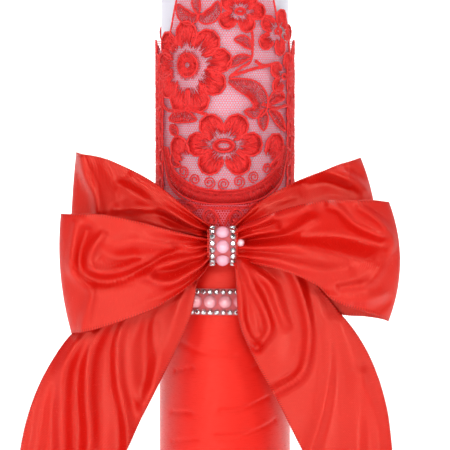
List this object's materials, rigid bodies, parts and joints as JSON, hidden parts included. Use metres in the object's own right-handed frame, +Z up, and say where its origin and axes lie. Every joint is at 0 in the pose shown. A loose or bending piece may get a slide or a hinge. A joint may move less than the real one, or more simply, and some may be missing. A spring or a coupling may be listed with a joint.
{
  "type": "unity candle",
  "caption": "Wax pillar candle with a satin sleeve, corded lace, a pearl and crystal trim band, and a double satin bow held at the front by a pearl-headed pin.",
  "frame": {"origin": "centre of the pillar's foot, on the surface that the candle stands on", "axes": "+Z up along the pillar, -Y towards the front where the bow is, +X to the right seen from the front"},
  "size_m": [0.1662, 0.0847, 0.26],
  "materials": {
    "wax": "smooth white paraffin wax, softly translucent",
    "wick_cotton": "braided waxed cotton",
    "sustainer_tin": "tinned sheet steel",
    "tape": "translucent adhesive strip",
    "sleeve_satin": "red satin, soft sheen, faint wrap creases",
    "ribbon_satin": "red double-face satin ribbon with dotted picot selvedge",
    "lace_net": "fine red hexagonal tulle net",
    "lace_thread": "red corded satin-stitch embroidery",
    "trim_backing": "woven trim tape",
    "tying_thread": "red polyester sewing thread",
    "band_pearl": "pearlescent half pearl, rosy",
    "knot_pearl": "pearlescent half pearl, pale pink",
    "pin_pearl": "pearlescent bead",
    "crystal": "faceted clear rhinestone",
    "cup_silver": "silver-plated cup",
    "pin_steel": "polished nickel-plated steel wire"
  },
  "bodies": {
    "candle": {"pillar_wax": "wax", "wick": "wick_cotton", "wick_sustainer": "sustainer_tin", "sleeve_tape": "tape", "satin_sleeve": "sleeve_satin", "lace_net": "lace_net", "lace_border": "lace_thread", "lace_flowers": "lace_thread", "lace_leaves": "lace_thread", "band_strip": "trim_backing", "band_pearls": "band_pearl", "band_upper_cups": "cup_silver", "band_upper_stones": "crystal", "band_lower_cups": "cup_silver", "band_lower_stones": "crystal"},
    "bow": {"knot_core": "ribbon_satin", "knot_thread": "tying_thread", "knot_strip": "trim_backing", "knot_pearls": "knot_pearl", "knot_left_cups": "cup_silver", "knot_left_stones": "crystal", "knot_right_cups": "cup_silver", "knot_right_stones": "crystal", "bow_front_left_loop": "ribbon_satin", "bow_front_right_loop": "ribbon_satin", "bow_back_left_loop": "ribbon_satin", "bow_back_right_loop": "ribbon_satin", "bow_left_tail": "ribbon_satin", "bow_right_tail": "ribbon_satin"},
    "pin": {"pin_shaft": "pin_steel", "pin_pearl": "pin_pearl"}
  },
  "joints": [
    {"name": "bow_pull_off", "type": "slide", "parent": "candle", "child": "bow", "axis": [0, -1, 0], "range_m": [0, 0.06]},
    {"name": "pin_pull_out", "type": "slide", "parent": "bow", "child": "pin", "axis": [0, -1, 0], "range_m": [0, 0.04]}
  ]
}
